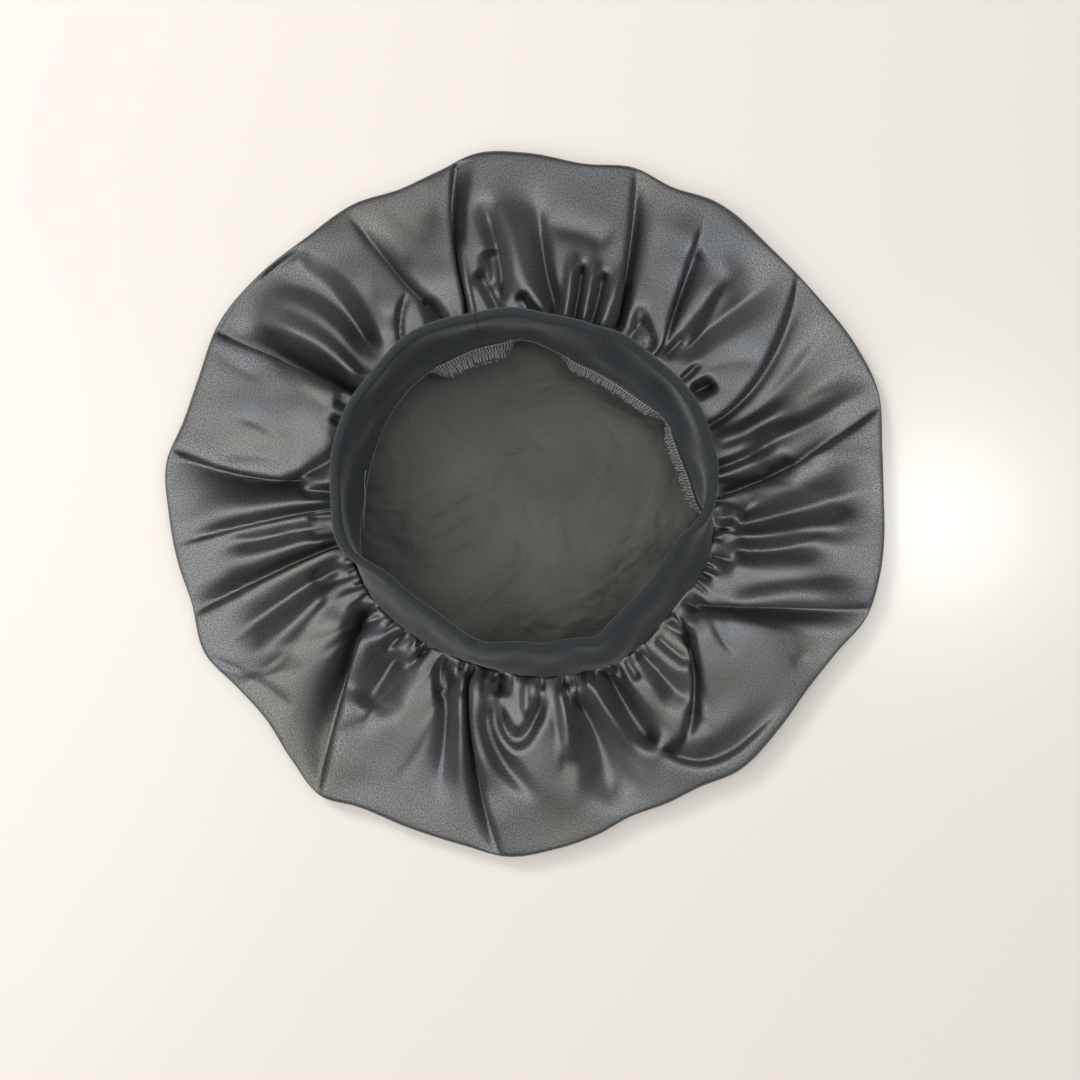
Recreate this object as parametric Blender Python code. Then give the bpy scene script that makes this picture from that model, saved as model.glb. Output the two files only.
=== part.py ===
"""Sleep bonnet of satin with a wide knit band, lying crown down on a table with its head opening up.

Sizes and tables are in millimetres. Angles run counter-clockwise from +X round the middle of the head
opening. The tables give each place as it looks from straight above the table, from EYE_HEIGHT: what stands
higher looks further out, and true_place() takes that away again.
"""

import math
from collections import namedtuple

import bmesh
import bpy
import numpy as np

MM = 0.001
STEPS = 144  # sections round the bonnet, shared by all three pieces
GAP = 0.7  # between pieces that touch, measured level

EYE_X = 7.0
EYE_Y = -20.0
EYE_HEIGHT = 600.0

SATIN_THICK = 1.6
UPPER_THICK = 1.8  # measured straight down, so that steep gathers stay over 1 mm
FLOOR_SETBACK = 7.0  # from the rim to where the satin meets the table
ROLL_SETBACK = 1.8
ROLL_HEIGHT = 2.6
INNER_ROLL = 0.7  # of the satin's thickness: how far its inner side stands in where the roll is steep
LOWEST_FOLD = 13.5  # the upper satin stays this far above the table, so that the bag stays open
GATHER_STRENGTH = 0.75  # of the stated height, in the middle between weak and strong gathers
GATHER_CHANGE = 0.25

BAND_WIDTH = 31.0
BAND_THICK = 3.0
BAND_FOOT = 17.5  # height of the band's lower edge
BAND_TOP_GUESS = 46.0  # height at which the band's upper edge is placed before its lean is known
BAND_BOW = 1.2  # the band's middle stands this far outside the straight line from foot to top
KINK_DROP = 2.2
KINK_REACH_DEG = 5.0
CLEAR_OF_BAND = 1.5  # level, from the satin to the band where the band leans out over it

ALLOWANCE_WIDTH = 6.5
ALLOWANCE_THICK = 1.2
ALLOWANCE_HEIGHT = 19.2
SHOWN_TILT = 12.0  # degrees above level where the ruffle stands in from the band
HANGING_TILT = 6.0  # degrees in from the band's own lean where it hangs below
TURN_OVER_DEG = 4.0
RUFFLE = 0.5

# Outline of the rim: degrees round, radius.
Outline = namedtuple("Outline", "deg radius")
RIM = [
    Outline(*row)
    for row in (
        (0, 181), (8, 182), (17.5, 186.5), (25, 184.5), (35, 180), (45, 178), (58, 179), (65, 175),
        (72, 177), (80, 173), (90, 176), (98, 177.5), (105, 172.5), (112, 170), (120, 173.5),
        (130, 173.5), (140, 177), (150, 179.5), (160, 177), (167, 178), (174, 183), (182, 181),
        (190, 179), (197, 177), (205.5, 180), (213, 174), (220, 172), (228, 177), (235.5, 182),
        (241, 177), (250, 176), (260, 177.5), (267, 180.5), (275, 177), (282, 173), (288, 168.5),
        (295, 169), (301, 169.5), (308, 174), (318, 172.5), (326, 171.5), (334, 175), (341, 182),
        (348, 183), (355, 182),
    )
]

# The head band: degrees round, radius of its upper edge, radius of the seam at its lower edge.
Lean = namedtuple("Lean", "deg top seam")
BAND = [
    Lean(*row)
    for row in (
        (0, 93, 88.5), (7, 96, 85.5), (15, 97.5, 83), (30, 99.5, 82), (45, 98, 77), (60, 95, 75.5),
        (75, 93, 76.5), (90, 94.5, 82), (105, 98, 82.5), (120, 102, 82), (135, 101, 82.5), (150, 101.5, 82),
        (165, 100.5, 81.5), (180, 96.5, 83), (195, 93.5, 88), (210, 80, 91.5), (225, 75, 89.5),
        (240, 73.5, 87), (251, 76, 85.5), (262, 73, 87), (277, 71.5, 90), (290, 75, 91.5),
        (297, 80, 93), (307, 76, 93.5), (320, 75, 92.5), (330, 75, 94), (340, 76, 97),
        (347, 80, 96), (354, 88, 93),
    )
]
KINKS_DEG = (251.0, 297.0)

# Stretches where the overlocked ruffle stands in past the band: first degree, last degree.
SHOWN_STRETCHES = ((-5.0, 27.0), (34.0, 73.0), (97.0, 122.0))

# The upper satin from the rim (share 0) to the band (share 1): height, how much of each fold reaches it, and
# how far the gathers stand up and down.
Level = namedtuple("Level", "share height folding gather")
LEVELS = [
    Level(*row)
    for row in (
        (0.0, 7.0, 0.0, 0.0), (0.035, 12.5, 0.45, 0.0), (0.11, 17.0, 0.9, 0.0), (0.22, 20.5, 1.0, 0.0),
        (0.36, 23.0, 1.0, 0.0), (0.5, 24.5, 1.0, 0.0), (0.64, 25.0, 1.0, 0.5), (0.76, 25.0, 1.0, 1.5),
        (0.87, 24.0, 0.9, 2.5), (0.95, 22.0, 0.6, 2.3), (1.0, 20.0, 0.0, 0.3),
    )
]

# Folds of the upper satin. Each runs along a curve from one place by a second to a third (degrees, radius),
# and is left_mm wide on the left of that way and right_mm on the right. A depth below 0 is a ridge.
CREASE = 2.0  # comes to an edge along its middle
ROUND = 0.0  # rounded all over
Fold = namedtuple("Fold", "from_deg from_mm by_deg by_mm to_deg to_mm left_mm right_mm depth form")
FOLDS = [
    Fold(*row)
    for row in (
        (0, 92, 8, 140, 17.5, 190, 7, 6, 5, CREASE),
        (13, 116, 16, 147, 20, 186, 7, 7, 6, ROUND),
        (20, 104, 24, 142, 31, 172, 7, 7, 5, ROUND),
        (24, 92, 30, 138, 38, 178, 6, 8, 6, CREASE),
        (31, 92, 31, 107, 31, 122, 6, 6, 7, ROUND),
        (43, 106, 43, 132, 41, 172, 9, 9, 7, ROUND),
        (47, 92, 50, 124, 50, 158, 6, 6, -3.5, ROUND),
        (50, 104, 53, 126, 58, 158, 7, 9, 9, CREASE),
        (54, 152, 54, 166, 54, 180, 13, 13, -3, ROUND),
        (61, 88, 65, 131, 72, 172, 9, 9, 10, ROUND),
        (73, 88, 73, 110, 73, 132, 5, 5, -5, ROUND),
        (76, 88, 76, 108, 77, 130, 5, 5, 7, ROUND),
        (79, 96, 84, 122, 86, 154, 6, 6, 7, ROUND),
        (70, 132, 80, 139, 90, 140, 8, 8, 5, ROUND),
        (90, 98, 91, 140, 91, 182, 11, 11, -4.5, ROUND),
        (95, 92, 96.5, 130, 99.5, 160, 6, 6, 7, CREASE),
        (102, 92, 103, 112, 102, 140, 6, 6, -5, ROUND),
        (98, 184, 105, 149, 108, 90, 6, 7, 10, CREASE),
        (114, 92, 116.5, 120, 120, 144, 6, 6, 5, CREASE),
        (121, 130, 121, 152, 121, 176, 6, 6, 4, ROUND),
        (126, 108, 126, 145, 126, 180, 10, 10, -3.5, ROUND),
        (134, 90, 132, 128, 142, 184, 10, 10, 12, ROUND),
        (138, 98, 139, 138, 150, 162, 6, 6, -4, ROUND),
        (146, 92, 143, 129, 141, 164, 7, 7, 8, ROUND),
        (149, 90, 150, 130, 153, 186, 5, 6, 9, CREASE),
        (161, 100, 161, 140, 161, 182, 17, 17, -2.5, ROUND),
        (160, 92, 168, 108, 176, 118, 8, 8, 6, ROUND),
        (175, 90, 174.5, 147, 171, 186, 6, 7, 8, CREASE),
        (181, 92, 181.5, 138, 188, 182, 6, 6, -4, ROUND),
        (183, 90, 185, 137, 187, 176, 6, 6, 7, ROUND),
        (191, 90, 195, 132, 204, 176, 6, 7, 9, CREASE),
        (196, 118, 200, 138, 209, 164, 7, 7, 6, ROUND),
        (205.5, 188, 208, 162, 211, 134, 7, 7, -4, CREASE),
        (212, 90, 224, 132, 234, 184, 7, 7, 10, CREASE),
        (222, 108, 230, 144, 236, 188, 6, 7, -4.5, ROUND),
        (214, 106, 216, 140, 216, 174, 17, 17, -3, ROUND),
        (232, 90, 232, 112, 231, 138, 9, 9, 9, ROUND),
        (250, 106, 251, 146, 252, 178, 7, 7, 7, ROUND),
        (254, 90, 254, 135, 252, 182, 6, 6, -5, ROUND),
        (256, 88, 257, 129, 258, 176, 5, 6, 10, CREASE),
        (259, 92, 261, 136, 271, 186, 6, 7, -4, ROUND),
        (263, 92, 268, 118, 272, 148, 7, 7, 6, ROUND),
        (276, 112, 276, 136, 276, 160, 12, 12, -4, ROUND),
        (276, 90, 278, 108, 280, 130, 8, 8, 8, ROUND),
        (284, 98, 287, 142, 276, 180, 10, 10, 12, ROUND),
        (290, 90, 294, 127, 302, 160, 6, 6, -5, ROUND),
        (295, 98, 296, 124, 297, 148, 8, 8, 10, ROUND),
        (299, 160, 312, 126, 326, 92, 5, 6, 6, CREASE),
        (308, 90, 308, 110, 308, 132, 8, 8, 7, ROUND),
        (298, 150, 308, 164, 320, 158, 6, 6, 5, ROUND),
        (322, 104, 320, 140, 320, 178, 22, 22, -3, ROUND),
        (327, 92, 336, 134, 343, 186, 6, 8, 10, CREASE),
        (343, 98, 343, 140, 345, 182, 7, 7, -4.5, ROUND),
        (347, 98, 348, 134, 349, 168, 10, 10, 11, ROUND),
        (352, 106, 353, 140, 354, 178, 6, 6, -4, ROUND),
        (355, 116, 358, 148, 362, 176, 8, 8, 6, ROUND),
        (355, 88, 355, 102, 355, 116, 9, 9, 7, ROUND),
    )
]
FOLD_SAMPLES = 12  # points along each fold's curve
FADE_SHARE = 0.22  # of a fold's length, over which it dies away at each end
SPREAD_FROM = 100.0  # folds have their stated width out to this radius, and spread further out

SHARP_EDGE_DEG = 60.0  # a steeper turn than this is shaded as an edge

# Materials: linear red, green and blue, and roughness.
Cloth = namedtuple("Cloth", "color roughness")
SATIN = Cloth((0.115, 0.122, 0.124), 0.34)
KNIT = Cloth((0.072, 0.078, 0.082), 0.8)
REVERSE = Cloth((0.066, 0.063, 0.058), 0.9)


def step_degrees():
    """The angle of each section, in degrees."""
    return np.arange(STEPS) * 360.0 / STEPS


def around(rows, column, degrees):
    """A smooth closed curve through one column of a table, read at each angle."""
    at = np.array([row.deg for row in rows])
    value = np.array([getattr(row, column) for row in rows])
    at = np.concatenate((at[-2:] - 360.0, at, at[:3] + 360.0))
    value = np.concatenate((value[-2:], value, value[:3]))
    slope = np.gradient(value, at)
    degrees = np.mod(degrees, 360.0)
    right = np.clip(np.searchsorted(at, degrees, side="right"), 1, len(at) - 1)
    left = right - 1
    span = at[right] - at[left]
    t = (degrees - at[left]) / span
    rise = (2 * t**3 - 3 * t**2 + 1) * value[left] + (3 * t**2 - 2 * t**3) * value[right]
    bend = (t**3 - 2 * t**2 + t) * slope[left] + (t**3 - t**2) * slope[right]
    return rise + bend * span


def polar(radius, degrees):
    """Flat x and y of a radius and an angle round the head opening."""
    radians = np.radians(degrees)
    return radius * np.cos(radians), radius * np.sin(radians)


def true_place(x, y, height):
    """Where a point at this height is, when from above it looks to be at x, y on the table."""
    nearness = 1.0 - height / EYE_HEIGHT
    return EYE_X + (x - EYE_X) * nearness, EYE_Y + (y - EYE_Y) * nearness


def ease(t):
    """0 to 1 with soft ends."""
    t = np.clip(t, 0.0, 1.0)
    return t * t * (3.0 - 2.0 * t)


def fold_curve(fold):
    """Points along a fold, on the curve through its three places."""
    start = np.array(polar(fold.from_mm, fold.from_deg))
    by = np.array(polar(fold.by_mm, fold.by_deg))
    end = np.array(polar(fold.to_mm, fold.to_deg))
    handle = 2.0 * by - (start + end) / 2.0
    t = np.linspace(0.0, 1.0, FOLD_SAMPLES)[:, None]
    return (1 - t) ** 2 * start + 2 * t * (1 - t) * handle + t**2 * end


def fold_depth(fold, x, y):
    """How far one fold lowers the satin at each x, y."""
    curve = fold_curve(fold)
    nearest = np.full(x.shape, np.inf)
    depth = np.zeros(x.shape)
    spread = np.maximum(np.hypot(x, y) / SPREAD_FROM, 1.0)
    for index in range(FOLD_SAMPLES - 1):
        start = curve[index]
        way = curve[index + 1] - start
        length = math.hypot(*way)
        away_x = x - start[0]
        away_y = y - start[1]
        along = np.clip((away_x * way[0] + away_y * way[1]) / length**2, 0.0, 1.0)
        distance = np.hypot(away_x - along * way[0], away_y - along * way[1])
        on_left = way[0] * away_y - way[1] * away_x > 0
        width = spread * np.where(on_left, fold.left_mm, fold.right_mm)
        side = np.clip(distance / width, 0.0, 1.0)
        if fold.form == CREASE:
            section = (1.0 - side) ** CREASE
        else:
            section = np.cos(side * math.pi / 2) ** 2
        share = (index + along) / (FOLD_SAMPLES - 1)
        fade = ease(np.minimum(share, 1.0 - share) / FADE_SHARE)
        nearer = distance < nearest
        nearest = np.where(nearer, distance, nearest)
        depth = np.where(nearer, fold.depth * section * fade, depth)
    return depth


def band_sections():
    """Outline of the band's section at each angle: seven places (radius, height) each, outer foot first."""
    degrees = step_degrees()
    top = around(BAND, "top", degrees)
    seam = around(BAND, "seam", degrees)
    top_x, top_y = true_place(*polar(top, degrees), BAND_TOP_GUESS)
    seam_x, seam_y = true_place(*polar(seam, degrees), BAND_FOOT)
    lean = np.hypot(top_x, top_y) - np.hypot(seam_x, seam_y)
    rise = np.sqrt(BAND_WIDTH**2 - lean**2)
    for kink in KINKS_DEG:
        rise = rise - KINK_DROP * ease(1.0 - np.abs(degrees - kink) / KINK_REACH_DEG)
    along_r = (top - seam) / np.hypot(top - seam, rise)
    along_z = rise / np.hypot(top - seam, rise)
    half = BAND_THICK / 2.0
    middle_r = (seam + top) / 2.0 + along_z * BAND_BOW
    middle_z = BAND_FOOT + rise / 2.0 - along_r * BAND_BOW
    brow_r = top - along_r * half
    brow_z = BAND_FOOT + rise - along_z * half
    return [
        (seam + along_z * half, np.full(STEPS, BAND_FOOT)),
        (middle_r + along_z * half, middle_z - along_r * half),
        (brow_r + along_z * half, brow_z - along_r * half),
        (top, BAND_FOOT + rise),
        (brow_r - along_z * half, brow_z + along_r * half),
        (middle_r - along_z * half, middle_z + along_r * half),
        (seam - along_z * half, np.full(STEPS, BAND_FOOT)),
    ]


def face_radius(foot, middle, height):
    """Radius of the band's face at a height between its foot and its middle."""
    share = (height - foot[1]) / (middle[1] - foot[1])
    return foot[0] + (middle[0] - foot[0]) * share


def height_under_band(foot, middle, radius):
    """Height of the band's outer face over a radius, or no limit where the band leans in."""
    outward = middle[0] - foot[0]
    leans_out = outward > 0.0
    steepness = (middle[1] - foot[1]) / np.where(leans_out, outward, 1.0)
    return np.where(leans_out, foot[1] + (radius - foot[0]) * steepness, np.inf)


def gather_pattern():
    """Up and down by turns round the band, more in some places than in others."""
    steps = np.arange(STEPS)
    turn = np.where(steps % 2 == 0, 1.0, -1.0)
    radians = np.radians(step_degrees())
    return turn * (GATHER_STRENGTH + GATHER_CHANGE * np.sin(5 * radians + 1.0) * np.sin(3 * radians))


def crown_rings():
    """The satin bag's rings (radius, height): up round the rim and in to the band, then back inside."""
    degrees = step_degrees()
    rim = around(RIM, "radius", degrees)
    sections = band_sections()
    outer_foot, outer_middle = sections[0], sections[1]
    gathers = gather_pattern()
    seam_top = LEVELS[-1].height + LEVELS[-1].gather * gathers
    seam_foot = seam_top - UPPER_THICK
    edge = face_radius(outer_foot, outer_middle, seam_top) + GAP
    outside = [(rim - FLOOR_SETBACK, np.zeros(STEPS)), (rim - ROLL_SETBACK, np.full(STEPS, ROLL_HEIGHT))]
    inside = [
        (rim - FLOOR_SETBACK, np.full(STEPS, SATIN_THICK)),
        (rim - ROLL_SETBACK - SATIN_THICK, np.full(STEPS, ROLL_HEIGHT + SATIN_THICK / 2)),
        (rim - SATIN_THICK, np.full(STEPS, LEVELS[0].height)),
    ]
    for level in LEVELS:
        radius = rim + (edge - rim) * level.share
        x, y = polar(radius, degrees)
        drop = sum(fold_depth(fold, x, y) for fold in FOLDS)
        height = level.height - level.folding * drop + level.gather * gathers
        if level.folding > LEVELS[1].folding:
            height = np.maximum(height, LOWEST_FOLD)
        if 0.0 < level.share < 1.0:
            limit = height_under_band(outer_foot, outer_middle, radius - CLEAR_OF_BAND)
            height = np.minimum(height, limit)
        outside.append((radius, height))
    roll_radius, roll_height = outside[3]
    inside.append((roll_radius - SATIN_THICK * INNER_ROLL, roll_height - SATIN_THICK))
    for radius, height in outside[4:-1]:
        inside.append((radius, height - UPPER_THICK))
    inside.append((face_radius(outer_foot, outer_middle, seam_foot) + GAP, seam_foot))
    return outside + inside[::-1]


def allowance_sections():
    """The overlocked ruffle's section at each angle: four places (radius, height) each."""
    degrees = step_degrees()
    shown = np.zeros(STEPS)
    for first, last in SHOWN_STRETCHES:
        middle = (first + last) / 2.0
        away = np.abs(np.mod(degrees - middle + 180.0, 360.0) - 180.0)
        inside = ((last - first) / 2.0 - away) / TURN_OVER_DEG + 0.5
        shown = np.maximum(shown, ease(inside))
    sections = band_sections()
    inner_foot, inner_middle = sections[6], sections[5]
    way_r = inner_middle[0] - inner_foot[0]
    way_z = inner_middle[1] - inner_foot[1]
    length = np.hypot(way_r, way_z)
    hanging = np.radians(HANGING_TILT) - np.arctan2(way_z, way_r)
    tilt = hanging + (np.radians(SHOWN_TILT) - hanging) * shown
    half = ALLOWANCE_THICK / 2.0
    clear = GAP + half
    root_r = face_radius(inner_foot, inner_middle, ALLOWANCE_HEIGHT) - clear * way_z / length
    root_z = ALLOWANCE_HEIGHT + clear * way_r / length
    ruffle = RUFFLE * gather_pattern()
    tip_r = root_r - ALLOWANCE_WIDTH * np.cos(tilt) - ruffle * np.sin(tilt)
    tip_z = root_z + ALLOWANCE_WIDTH * np.sin(tilt) + ruffle * np.cos(tilt)
    up_r = half * np.sin(tilt)
    up_z = half * np.cos(tilt)
    return [
        (root_r + up_r, root_z + up_z),
        (tip_r + up_r, tip_z + up_z),
        (tip_r - up_r, tip_z - up_z),
        (root_r - up_r, root_z - up_z),
    ]


def middle_of_rim():
    """Middle of the rim's box, which becomes the origin."""
    degrees = step_degrees()
    x, y = true_place(*polar(around(RIM, "radius", degrees), degrees), LEVELS[0].height)
    return (x.min() + x.max()) / 2.0, (y.min() + y.max()) / 2.0


def add_ring(mesh, radius, height, middle):
    """One closed ring of points."""
    x, y = true_place(*polar(radius, step_degrees()), height)
    places = zip((x - middle[0]) * MM, (y - middle[1]) * MM, height * MM)
    return [mesh.verts.new(place) for place in places]


def join_rings(mesh, first, second):
    """A strip of four-sided faces between two rings."""
    for index in range(STEPS):
        after = (index + 1) % STEPS
        mesh.faces.new((first[index], first[after], second[after], second[index]))


def close_disc(mesh, ring, height, middle):
    """A flat disc of triangles that meet in the middle of a ring."""
    x, y = true_place(0.0, 0.0, height)
    hub = mesh.verts.new(((x - middle[0]) * MM, (y - middle[1]) * MM, height * MM))
    for index in range(STEPS):
        mesh.faces.new((ring[index], ring[(index + 1) % STEPS], hub))


def plain_material(name, cloth):
    """A Principled material in one colour."""
    material = bpy.data.materials.new(name)
    material.use_nodes = True
    shader = material.node_tree.nodes["Principled BSDF"]
    shader.inputs["Base Color"].default_value = (*cloth.color, 1.0)
    shader.inputs["Roughness"].default_value = cloth.roughness
    shader.inputs["Metallic"].default_value = 0.0
    return material


def finish_object(name, mesh, material):
    """The object of a finished mesh, its faces turned outwards and shaded smooth."""
    bmesh.ops.recalc_face_normals(mesh, faces=mesh.faces)
    data = bpy.data.meshes.new(name)
    mesh.to_mesh(data)
    mesh.free()
    data.materials.append(material)
    data.shade_smooth()
    data.set_sharp_from_angle(angle=math.radians(SHARP_EDGE_DEG))
    made = bpy.data.objects.new(name, data)
    bpy.context.scene.collection.objects.link(made)
    return made


def make_crown(middle):
    """The satin bag: flat underneath, rolled at the rim, gathered above, open to the head band."""
    mesh = bmesh.new()
    rings = [add_ring(mesh, radius, height, middle) for radius, height in crown_rings()]
    for first, second in zip(rings, rings[1:]):
        join_rings(mesh, first, second)
    close_disc(mesh, rings[0], 0.0, middle)
    close_disc(mesh, rings[-1], SATIN_THICK, middle)
    return finish_object("crown", mesh, plain_material("satin", SATIN))


def make_loop(name, sections, material, middle):
    """A closed loop of one section all the way round."""
    mesh = bmesh.new()
    rings = [add_ring(mesh, radius, height, middle) for radius, height in sections]
    for index, ring in enumerate(rings):
        join_rings(mesh, ring, rings[(index + 1) % len(rings)])
    return finish_object(name, mesh, material)


def clear_scene():
    for old in list(bpy.data.objects):
        bpy.data.objects.remove(old, do_unlink=True)


def main():
    clear_scene()
    middle = middle_of_rim()
    make_crown(middle)
    make_loop("band", band_sections(), plain_material("knit", KNIT), middle)
    make_loop("seam_allowance", allowance_sections(), plain_material("overlocked_edge", REVERSE), middle)


main()
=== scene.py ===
"""Looks of a satin sleep bonnet with a wide knit head band, lying crown down on a pale table.

Tables are in millimetres and degrees. Angles run counter-clockwise from +X round the middle of the head
opening, and radii are as they look from the eye above the table; true_place() turns them into real places.
"""

import math
from collections import namedtuple

import bpy
import numpy as np
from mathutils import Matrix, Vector


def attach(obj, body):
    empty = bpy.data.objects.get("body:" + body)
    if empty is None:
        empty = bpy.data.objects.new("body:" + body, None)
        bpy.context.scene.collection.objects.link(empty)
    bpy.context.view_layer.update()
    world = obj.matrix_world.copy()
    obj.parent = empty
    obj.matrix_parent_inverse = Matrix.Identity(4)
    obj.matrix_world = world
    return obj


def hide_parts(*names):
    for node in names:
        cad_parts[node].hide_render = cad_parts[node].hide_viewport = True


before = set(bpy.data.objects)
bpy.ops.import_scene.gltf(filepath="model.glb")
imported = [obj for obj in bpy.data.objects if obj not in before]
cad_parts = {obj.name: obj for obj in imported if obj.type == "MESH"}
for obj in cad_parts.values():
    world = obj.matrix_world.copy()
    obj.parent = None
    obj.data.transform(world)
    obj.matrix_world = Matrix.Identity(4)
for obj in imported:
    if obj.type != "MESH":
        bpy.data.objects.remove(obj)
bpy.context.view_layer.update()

MM = 0.001
TINY = 1e-9  # added to a length that something is divided by


def table(row, *values):
    """A table's rows with their columns named."""
    return [row(*columns) for columns in values]


# -------- the eye, the table and the light
EYE_X = 7.0
EYE_Y = -20.0
EYE_HEIGHT = 600.0
PHOTO_PX = 1080
PX_MM = 0.506  # one pixel of the photo on the table
NEAREST_SEEN = 10.0  # from the eye

TABLE_REACH = 3000.0
TABLE_DROP = 0.05  # the table lies this far under the bonnet, so that they don't touch

ROOM = "#fbfaf8"
CEILING_FROM_TO = (0.35, 0.8)  # height of a direction, 1 straight up, over which the ceiling's light grows
CEILING_LIGHT = 1.24
LEFT_RIGHT_LIGHT = (0.98, 1.02)  # share of that light from either side
WALLS_SEEN = 0.45  # how light the walls look where the eye sees them
WHITE = (1.0, 1.0, 1.0)
# Soft round lights aimed at the bonnet, in metres. The first is mirrored in the table, right of the bonnet.
Lamp = namedtuple("Lamp", "name place width watts colour in_gloss")
LAMPS = table(
    Lamp,
    ("ceiling_lamp", (0.93, 0.03, 2.2), 0.38, 8.0, (0.94, 0.97, 1.0), True),
    ("window_left", (-0.95, -0.2, 0.9), 1.4, 7.0, WHITE, True),
    ("window_far", (-0.9, 0.95, 1.1), 0.45, 14.0, WHITE, False),
)

CAD_STEPS = 144  # sections round the bonnet in the solids
CAD_RIM_HEIGHT = 7.0

# -------- the bonnet's own sizes
SATIN_STEPS = 704  # sections round it
SATIN_THICK = 0.45
# Between rings of the satin's mesh: share of its way from the table round the rim to the band, millimetres.
SATIN_RINGS = ((0.0, 3.4), (0.08, 1.2), (0.11, 0.6), (0.2, 0.8), (0.26, 1.9), (0.8, 2.2), (1.0, 1.7))
FLOOR_RINGS = 4
CURVE_STEPS = 24  # on a smooth curve, between two rows of a table
LOWEST_FOLD = 3.5  # folds sink no lower over the table
FOLD_EASE = 2.0  # how softly they stop there
OFF_TABLE_FROM = 0.4  # share of the folds from which this holds, so that the rim still meets the table

BAND_STEPS = 480
BAND_RINGS = 22  # up each face
BAND_FOLD_RINGS = 17  # over the fold
BAND_ROUND = 520.0  # the knit strip is this long
JOIN_DEG = 105.5  # where the strip's ends are sewn together
BAND_WIDTH = 31.0
BAND_THICK = 3.0
KNIT_THICK = 0.8
BAND_FOOT = 17.5  # height of the band's lower edge
BAND_TOP_GUESS = 46.0  # height at which its upper edge is placed before its lean is known
BAND_BOW = 1.2  # the band's middle stands this far outside the straight line from foot to top
FOLD_FROM = 0.5  # share of the band's width from which it grows thicker towards its fold
FOLD_THICKER = 1.3
WRINKLE_SEED = 8
WRINKLES = 14
WRINKLE_WAVES = (4, 24)  # round the band
WRINKLE_SLANT = (-2.5, 2.5)
WRINKLE_SLOPE = 0.034
WRINKLES_FULL = 0.5  # share of the band's width, up from its foot, where they have their full size
KINK_DROP = 2.2
KINK_REACH_DEG = 5.0
GAP = 0.7  # between pieces that touch, measured level

ALLOWANCE_WIDTH = 6.5
ALLOWANCE_THICK = 0.9
ALLOWANCE_HEIGHT = 19.2
ALLOWANCE_STEPS = 960
ALLOWANCE_RINGS = 7  # on each face
HANGING_TILT = 6.0  # degrees in from the band's own lean where it hangs below
HANGING_CURL = 1.3  # radians that it curls under the band's foot there
LEAST_CURL = 0.01  # where it stands in
HIDDEN_OUT = 2.2  # how far under the band's foot it starts there
HIDDEN_DOWN = 3.0
TURN_OVER_DEG = 10.0  # it turns from hanging to standing in over this
FACE_RISE = 10.0  # height over which the slope of the band's inner face is read
RUFFLES = 96
RUFFLE = 0.55
RUFFLE_CROWDING = 2.0  # radians that ruffles crowd together or draw apart
RUFFLE_CROWDS = 7.0  # times round the band
RUFFLE_CHANGE = 0.3  # share by which they change in height
RUFFLE_CHANGES = 11.0  # times round the band
RUFFLE_START = 1.0  # radians into the first change

# Overlock thread over the allowance's raw edge.
STITCH_MM = 1.7
STITCH_SHIFT = 0.16  # share of a stitch by which one starts early or late
STITCH_SHORTER = 0.22  # share of its reach by which one falls short of the raw edge
STITCH_REACHES = 0.5  # past this share of the allowance's width
THREAD_SEED = 5
THREAD = 0.13  # radius
THREAD_SIDES = 5
FIRST_SIDE = (0.3, 0.2, 0.9)  # a direction that no thread runs along
# Along one stitch: share of its length, share of the allowance's width, height over the cloth's middle.
LOOPER = (
    (0.0, 0.1, 0.6), (0.05, 0.35, 0.72), (0.13, 0.7, 0.74), (0.2, 0.97, 0.6), (0.3, 1.05, 0.0),
    (0.42, 0.97, 0.6), (0.55, 0.7, 0.76), (0.72, 0.35, 0.76), (0.86, 0.1, 0.62),
)
NEEDLE = ((0.0, 0.1, 0.55), (0.25, 0.12, 0.85), (0.75, 0.12, 0.85))
EDGE = ((0.0, 1.03, 0.35), (0.35, 1.08, 0.0), (0.7, 1.03, -0.35))

# Ends of sewing thread that were left hanging. Each point: degrees, radius as seen, height.
LOOSE_STEPS = ((0.0, 0.8), (1.0, 0.8))  # a table like SATIN_RINGS
DEGREE_MM = 1.5  # one degree round the band
LooseEnd = namedtuple("LooseEnd", "name points")
LOOSE_ENDS = table(
    LooseEnd,
    (
        "loose_thread_left",
        ((169.5, 82.6, 27.0), (174.0, 82.2, 25.0), (180.0, 81.4, 23.5), (186.0, 82.6, 22.0),
         (190.0, 83.4, 19.5)),
    ),
    ("loose_thread_outside", ((193.2, 95.6, 38.0), (194.0, 96.6, 38.6), (195.2, 96.2, 38.2))),
)

# Outline of the rim.
Outline = namedtuple("Outline", "deg radius")
RIM = table(
    Outline,
    (0, 181), (8, 182), (17.5, 186.5), (25, 184.5), (35, 180), (45, 178), (58, 179), (65, 175),
    (72, 177), (80, 173), (90, 176), (98, 177.5), (105, 172.5), (112, 170), (120, 173.5),
    (130, 173.5), (140, 177), (150, 179.5), (160, 177), (167, 178), (174, 183), (182, 181),
    (190, 179), (197, 177), (205.5, 180), (213, 174), (220, 172), (228, 177), (235.5, 182),
    (241, 177), (250, 176), (260, 177.5), (267, 180.5), (275, 177), (282, 173), (288, 168.5),
    (295, 169), (301, 169.5), (308, 174), (318, 172.5), (326, 171.5), (334, 175), (341, 182),
    (348, 183), (355, 182),
)

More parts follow.
